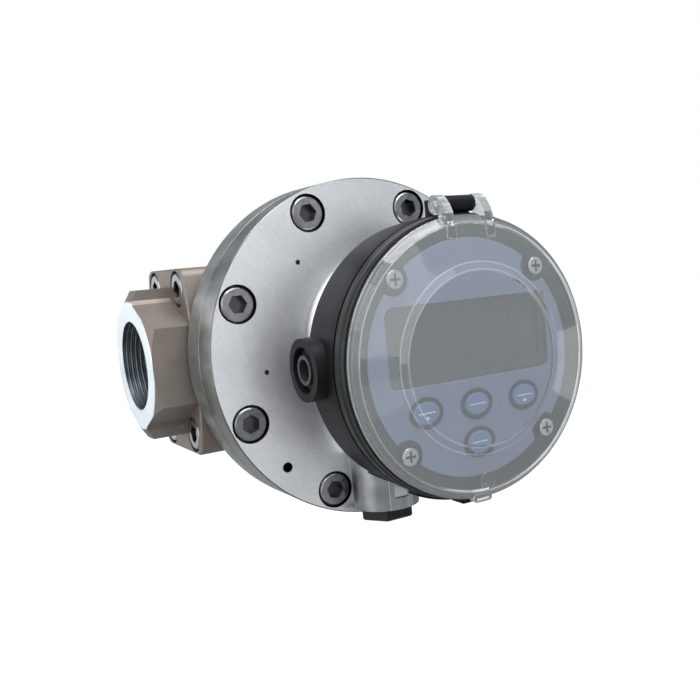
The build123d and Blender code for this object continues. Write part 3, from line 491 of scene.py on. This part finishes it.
def filled_plastic(name, shade, fleck, size, rough, shine=0.5, part_of=None, part_shade=None):
    """Moulded plastic with a fleck of filler and a slight mould texture.

    A part of the piece, given by a mask, may have its own shade.
    """
    material, tree = new_material(name)
    spots = grain(tree, size, 4.0, 0.65)
    tone = mixed(tree, between(tree, spots, 0.0, fleck_share), linear(shade), linear(fleck))
    if part_of is not None:
        tone = mixed(tree, part_of(tree), tone, linear(part_shade))
    bump = add(tree, "ShaderNodeBump", inputs={
        "Height": spots, "Strength": mould_bump, "Distance": mould_bump_height})
    skin = add(tree, "ShaderNodeBsdfPrincipled", inputs={
        "Base Color": tone,
        "Roughness": between(tree, spots, rough + mould_rough[0], rough + mould_rough[1]),
        "Specular IOR Level": shine, "Normal": bump.outputs[0]})
    add(tree, "ShaderNodeOutputMaterial", inputs={"Surface": skin.outputs[0]})
    return material


def dress_slot(material, *node_names):
    """Puts this finish in the material slots of the named nodes, on each object alone."""
    for node_name in node_names:
        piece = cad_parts[node_name]
        for place in piece.material_slots:
            place.link = "OBJECT"
            place.material = material


def ground_steel(name, shade, rough, sink_shade_of=None, sink_painted_shade=None):
    """Ground or rolled stainless steel: a fine uneven sheen, more or less worn, painted shade where
    sunk.
    """
    material, tree = new_material(name)
    slow = grain(tree, sheen_patch, 4.0, 0.6)
    light = linear(shade)
    dark = tuple(sheen_dark * part for part in light[:3]) + (1.0,)
    tone = mixed(tree, between(tree, slow, 0.0, 1.0), dark, light)
    worn = between(tree, grain(tree, worn_patch), *worn_tone)
    scaled = add(tree, "ShaderNodeVectorMath", {"operation": "SCALE"}, {0: tone, "Scale": worn})
    tone = scaled.outputs[0]
    if sink_shade_of is not None:
        tone = mixed(tree, sink_shade_of(tree), tone, linear(sink_painted_shade))
    skin = add(tree, "ShaderNodeBsdfPrincipled", inputs={
        "Base Color": tone, "Metallic": 1.0,
        "Roughness": between(tree, slow, rough + steel_rough[0], rough + steel_rough[1])})
    add(tree, "ShaderNodeOutputMaterial", inputs={"Surface": skin.outputs[0]})
    return material


rotor_plastic = filled_plastic("glass_filled_pps", rotor_shade, rotor_fleck, size=0.0012, rough=0.5)
bush_carbon = filled_plastic("carbon_ceramic", "#1c1c1d", "#3a3a3b", size=0.0008, rough=0.45)
washer_plastic = filled_plastic("filled_ptfe", "#d8d2c4", "#b8b2a4", size=0.001, rough=0.4)
shaft_steel = ground_steel("ground_stainless_steel", "#c9c9c7", rough=0.22)
dress_slot(rotor_plastic, "rotor_a", "rotor_b")
dress_slot(bush_carbon, "rotor_a_bushes", "rotor_b_bushes")
dress_slot(washer_plastic, "rotor_washers")
dress_slot(shaft_steel, "rotor_shaft_a", "rotor_shaft_b", "rotor_magnets", "cover_dowels")

# Seals
# Black moulded rubber: the rings between the castings, under the register, the bezel and the
# lid, and the frame round the display.
rubber = filled_plastic("moulded_rubber", "#141415", "#232324", size=0.0009, rough=0.62)
dress_slot(rubber, "cover_seal", "inlet_seal", "outlet_seal", "plug_seal", "turret_gasket",
           "bezel_gasket", "lid_seal", "display_frame")

# Cover
# A round aluminium casting, bead blasted light grey, with its edge turned bright. The low turret
# that carries the register and the upright conduit boss are cast in one with it.
cover_shade = "#eceef0"
cover_dark = "#e3e5e8"
# The conduit boss is turned, and painted darker as the register's shadow on it.
boss_shadowed_shade = "#9da0a4"
boss_shadowed_dark = "#85888d"
boss_front_y = -0.0690
boss_top_z = -0.0500
pocket_floor_y = -0.0953
pocket_tolerance = 0.00005
# The cover's counterbores and small holes are painted darker, as shade.
counterbore_painted_shade = "#76777a"
counterbore_painted_dark = "#55565a"
cover_recess_y = -0.0670


def boss_shadow_mask(tree):
    """1 on the conduit boss, out in front of the cover and low down: turned, with a painted shadow."""
    ahead = calculated(tree, "LESS_THAN", coordinate(tree, "Y"), boss_front_y)
    low = calculated(tree, "LESS_THAN", coordinate(tree, "Z"), boss_top_z)
    return calculated(tree, "MULTIPLY", ahead, low)


def pocket_mask(tree):
    """1 on the small milled flat in the conduit boss's front."""
    off = calculated(tree, "SUBTRACT", coordinate(tree, "Y"), pocket_floor_y)
    return calculated(tree, "LESS_THAN", calculated(tree, "ABSOLUTE", off), pocket_tolerance)


def counterbore_shade_mask(tree):
    """1 below the cover's front face, in its counterbores and small holes, painted darker as shade."""
    far = axis_distance(tree, (1.0, 0.0, 1.0), (port_middle_x, 0.0, 0.0))
    inside = calculated(tree, "LESS_THAN", far, rim_turned_from)
    behind = calculated(tree, "GREATER_THAN", coordinate(tree, "Y"), cover_recess_y)
    return calculated(tree, "MULTIPLY", inside, behind)


cover_metal = blasted_metal("bead_blasted_cover", (cover_shade, cover_dark), [
    (rim_mask, rim_shade, rim_dark), (rim_bevel_shade_mask, rim_bevel_painted_shade, rim_bevel_painted_dark),
    (counterbore_shade_mask, counterbore_painted_shade, counterbore_painted_dark), (boss_shadow_mask, boss_shadowed_shade, boss_shadowed_dark),
    (pocket_mask, face_shade, face_dark)], rough=(0.36, 0.46), metal=0.97)
finish_node("meter_cover", "meter", cover_metal)

# Socket screws
# Stainless cap screws, eight in the cover and four in each adaptor. Their rolled heads are dull,
# and their sockets are painted darker, as shade.
screw_sunk_y = -0.0666
screw_sunk_x = 0.0786
machined_smooth = 25.0


def socket_shade_mask(tree):
    """1 in the sockets, behind the cover's face or inside the adaptors' outer faces, painted as shade.
    """
    behind = calculated(tree, "GREATER_THAN", coordinate(tree, "Y"), screw_sunk_y)
    along = calculated(tree, "SUBTRACT", coordinate(tree, "X"), port_middle_x)
    inside = calculated(tree, "LESS_THAN", calculated(tree, "ABSOLUTE", along), screw_sunk_x)
    return calculated(tree, "MULTIPLY", behind, inside)


# The sockets are painted darker, as shade.
screw_steel = ground_steel("rolled_stainless_steel", "#97989a", rough=0.30,
                           sink_shade_of=socket_shade_mask, sink_painted_shade="#5a5c60")
for node_name in ("cover_screws", "inlet_screws", "outlet_screws"):
    finish_node(node_name, "meter", screw_steel, machined_smooth)

# Sensor
# A small green board with its reed tube and two black chips stands in the cover's well, held by
# one screw and closed off by the register, whose own board and blocks have the same finishes.
board_green = filled_plastic("solder_masked_board", "#16502c", "#1f6238", size=0.002, rough=0.35)
chip_black = filled_plastic("moulded_epoxy", "#101011", "#1d1d1e", size=0.0008, rough=0.5)
dress_slot(board_green, "sensor_board", "circuit_board", "terminal_block")
dress_slot(chip_black, "hall_sensors", "reed_switch", "key_switches", "battery_holder")
dress_slot(shaft_steel, "sensor_screw", "turret_screws", "board_screws")

# Conduit plug
# A six-sided black nylon plug that blanks the conduit boss, with fine mould texture.
plug_nylon = filled_plastic("black_nylon_plug", "#090a0a", "#141515", size=0.0009, rough=0.4, shine=0.3)
finish_node("conduit_plug", "meter", plug_nylon, machined_smooth)

# Register housing
# A round box moulded in charcoal glass-filled nylon, with a cable entry at the left, the hinge's
# bracket at the top and the latch's lug below.
housing_shade = "#121416"
housing_fleck = "#1b1e20"
housing_nylon = filled_plastic("charcoal_nylon", housing_shade, housing_fleck,
                               size=0.0007, rough=0.46, shine=0.12)
gland_nylon = filled_plastic("grey_nylon_gland", "#26292b", "#2f3234", size=0.0007, rough=0.42)
finish_node("register_housing", "meter", housing_nylon)
finish_node("entry_gland", "meter", gland_nylon)
dress_slot(shaft_steel, "hinge_pin")

# Bezel
# A satin charcoal moulded ring that holds the facia, with four lugs for the facia's screws.
register_centre = (0.1170, -0.0047)
facia_cross_y = -0.1297
bezel_shade = "#2e3234"
bezel_fleck = "#373b3d"
# The bezel's outer side is painted darker than its front, as shade.
bezel_outer_painted_shade = "#17191a"
bezel_side_from = 0.0632


def bezel_outer_shade_mask(tree):
    """1 on the bezel's outer side, which the lid doesn't cover; it is painted darker, as shade."""
    away = axis_distance(tree, (1.0, 0.0, 1.0), (register_centre[0], 0.0, register_centre[1]))
    return calculated(tree, "GREATER_THAN", away, bezel_side_from)


bezel_plastic = filled_plastic("satin_charcoal_bezel", bezel_shade, bezel_fleck,
                               size=0.0006, rough=0.42, shine=0.3,
                               part_of=bezel_outer_shade_mask, part_shade=bezel_outer_painted_shade)
finish_node("bezel", "meter", bezel_plastic)


def cross_slot_shade_mask(tree):
    """1 in the facia screws' cross slots, painted dark as shade."""
    return calculated(tree, "GREATER_THAN", coordinate(tree, "Y"), facia_cross_y)


# The cross slots are painted dark, as shade.
facia_screw_steel = ground_steel("pan_head_stainless_steel", "#e4e4e2", rough=0.3,
                                 sink_shade_of=cross_slot_shade_mask, sink_painted_shade="#2c2c2d")
finish_node("facia_screws", "meter", facia_screw_steel, machined_smooth)

# Facia
# A printed plastic plate in pale lavender blue, with a round-cornered window over the display
# and four oval holes for the keys.
facia_print = filled_plastic("printed_facia", "#7c84a3", "#848cab", size=0.0011, rough=0.45)
finish_node("facia", "meter", facia_print)
rim_plastic = filled_plastic("key_rim_print", "#2a303b", "#333945", size=0.0008, rough=0.45)
finish_node("key_rims", "meter", rim_plastic)

# Display
# A grey liquid-crystal module behind a clear pane. Nothing is lit on it.
display_grey = filled_plastic("liquid_crystal_glass", "#242828", "#292d2d", size=0.006, rough=0.25)
dress_slot(display_grey, "display_module")
wave_size = 0.012
wave_bump = 0.06
wave_height = 0.0004
clear_shine = 0.2
clear_ior = 1.5
clear_rough_rise = 0.03
# Where frosted, and where highlights are painted, the plastic is whiter and less clear.
frost_and_glint_shade = "#f1f4f5"
frost_and_glint_through = 0.45


def clear_plastic(name, shade, let_through, rough, frost_and_glint_of=None):
    """Clear moulded plastic: mostly let through, with a slight grey haze and wavy gloss.

    Where it is frosted, and where highlights are painted, less is let through and the haze is whiter.
    """
    material, tree = new_material(name)
    slow = grain(tree, wave_size, 2.0)
    bump = add(tree, "ShaderNodeBump", inputs={
        "Height": slow, "Strength": wave_bump, "Distance": wave_height})
    whitening = 0.0 if frost_and_glint_of is None else frost_and_glint_of(tree)
    through = add(tree, "ShaderNodeMix", {}, {0: whitening, 2: let_through, 3: frost_and_glint_through})
    skin = add(tree, "ShaderNodeBsdfPrincipled", inputs={
        "Base Color": mixed(tree, whitening, linear(shade), linear(frost_and_glint_shade)),
        "Roughness": between(tree, slow, rough, rough + clear_rough_rise),
        "Specular IOR Level": clear_shine, "IOR": clear_ior,
        "Transmission Weight": through.outputs[0], "Normal": bump.outputs[0]})
    add(tree, "ShaderNodeOutputMaterial", inputs={"Surface": skin.outputs[0]})
    return material


pane_clear = clear_plastic("clear_acrylic_pane", "#e4e8e8", let_through=0.96, rough=0.03)
pane = finish_node("display_pane", "meter", pane_clear)
pane.visible_shadow = False

# Keys
# Four oval keys of pale blue silicone, each with a thin white printed line, and a small plain
# triangle on two of them.
key_silicone = filled_plastic("blue_silicone_key", "#7082ae", "#798bb6", size=0.0015, rough=0.4)
mark_ink = filled_plastic("white_key_ink", "#e8ecf2", "#f2f5f8", size=0.001, rough=0.5)
mark_length = 0.0088
mark_width = 0.00045
mark_rise = 0.00006
bar_end_points = 7
triangle_size = 0.0025
triangle_drop = 0.0024


def new_piece(name, points, faces, material, body):
    """A mesh piece from arrays of points and faces, in its finish, on its body."""
    mesh = bpy.data.meshes.new(name)
    mesh.from_pydata(points.tolist(), [], faces)
    mesh.materials.append(material)
    made = bpy.data.objects.new(name, mesh)
    bpy.context.collection.objects.link(made)
    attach(made, body)
    return made


def flat_mark(name, outline, front_y, material, body):
    """A thin plate from an outline of x and z, standing out of a face at a given y."""
    count = len(outline)
    front = np.column_stack([outline[:, 0], np.full(count, front_y - mark_rise), outline[:, 1]])
    back = np.column_stack([outline[:, 0], np.full(count, front_y + mark_rise), outline[:, 1]])
    faces = [list(range(count)), list(range(2 * count - 1, count - 1, -1))]
    index = np.arange(count)
    following = (index + 1) % count
    sides = np.stack([index, index + count, following + count, following], -1)
    return new_piece(name, np.vstack([front, back]), faces + sides.tolist(), material, body)


def bar_outline(centre, length, width):
    """A flat bar with round ends: two half circles joined, anticlockwise from the front."""
    angle = np.linspace(-np.pi / 2, np.pi / 2, bar_end_points)
    right = np.column_stack([length / 2 - width / 2 + np.cos(angle) * width / 2,
                             np.sin(angle) * width / 2])
    return np.vstack([right, -right]) + np.array(centre)


def triangle_outline(centre, size, up):
    """An equal-sided triangle round a centre, pointing up or down."""
    angle = np.radians([90, 210, 330])
    ring = np.column_stack([np.cos(angle), np.sin(angle)]) * size / 2
    return (ring if up else -ring) + np.array(centre)


for key in ("key_left", "key_middle", "key_right", "key_lower"):
    finish_node(key, key, key_silicone)
    low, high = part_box(key)
    centre = ((low[0] + high[0]) / 2, (low[2] + high[2]) / 2)
    outline = bar_outline(centre, mark_length, mark_width)
    line = flat_mark(key + "_line", outline, low[1], mark_ink, key)
    if key in ("key_left", "key_right"):
        place = (centre[0], centre[1] - triangle_drop)
        outline = triangle_outline(place, triangle_size, key == "key_right")
        mark = flat_mark(key + "_mark", outline, low[1], mark_ink, key)

# Register's inside
# Two cells in their holder and a terminal block lie behind the circuit board, out of sight.
cell_wrap = filled_plastic("shrink_wrapped_cell", "#2c4a78", "#355486", size=0.003, rough=0.3)
dress_slot(cell_wrap, "battery_cells")

# Lid
# A clear polycarbonate lid, moulded in one with its two hinge ears and the latch's tab, swings
# up over the facia. It is slightly grey, glossy, and a little wavy as thin mouldings are.
lid_rings = ((0.0396, -0.1382), (0.0430, -0.1369), (0.0606, -0.1335))
ring_tolerance = 0.00005
ring_round = 0.00035
ring_glint_width = 0.00028
ring_bend = radians(5)
# The lines on the lid's round edges are painted highlights; the hinge ears are frosted.
ring_painted_glint = 0.4
ear_milk = 0.22
ears_above_z = 0.0600
lid_smooth = 20.0


def frost_and_glint_mask(tree):
    """How white: most on the lid's round edges, as painted highlights, and less on the hinge ears,
    frosted.
    """
    away = axis_distance(tree, (1.0, 0.0, 1.0), (register_centre[0], 0.0, register_centre[1]))
    lines = 0.0
    for radius, front_y in lid_rings:
        off = calculated(tree, "ABSOLUTE", calculated(tree, "SUBTRACT", away, radius))
        near = calculated(tree, "LESS_THAN", off, ring_glint_width)
        outside = calculated(tree, "LESS_THAN", coordinate(tree, "Y"), front_y)
        lines = calculated(tree, "MAXIMUM", calculated(tree, "MULTIPLY", near, outside), lines)
    ears = calculated(tree, "GREATER_THAN", coordinate(tree, "Z"), ears_above_z)
    return calculated(tree, "MAXIMUM", calculated(tree, "MULTIPLY", lines, ring_painted_glint),
                      calculated(tree, "MULTIPLY", ears, ear_milk))


def soften_rings(piece, centre, rings):
    """Rounds the edges that run round the lid's outside at the given radii, to catch the light."""
    work = bmesh.new()
    work.from_mesh(piece.data)
    place = np.array([v.co for v in work.verts])
    radius = np.hypot(place[:, 0] - centre[0], place[:, 2] - centre[1])
    on_ring = np.zeros(len(place), bool)
    for ring_radius, front_y in rings:
        on_ring |= (np.abs(radius - ring_radius) < ring_tolerance) & (place[:, 1] < front_y)
    around = [edge for edge in work.edges
              if all(on_ring[v.index] for v in edge.verts)
              and abs(edge.verts[0].co.y - edge.verts[1].co.y) < ring_tolerance
              and edge.calc_face_angle(0.0) > ring_bend]
    made = bmesh.ops.bevel(work, geom=around, offset=ring_round, segments=2, profile=0.5,
                           affect="EDGES")
    for face in made["faces"]:
        face.smooth = True
    work.to_mesh(piece.data)
    work.free()


lid_clear = clear_plastic("clear_polycarbonate_lid", "#c6cacb", let_through=0.895, rough=0.03,
                          frost_and_glint_of=frost_and_glint_mask)
lid = finish_node("lid", "lid", lid_clear, lid_smooth)
soften_rings(lid, register_centre, lid_rings)
lid.visible_shadow = False

bpy.context.scene.view_settings.view_transform = "Standard"
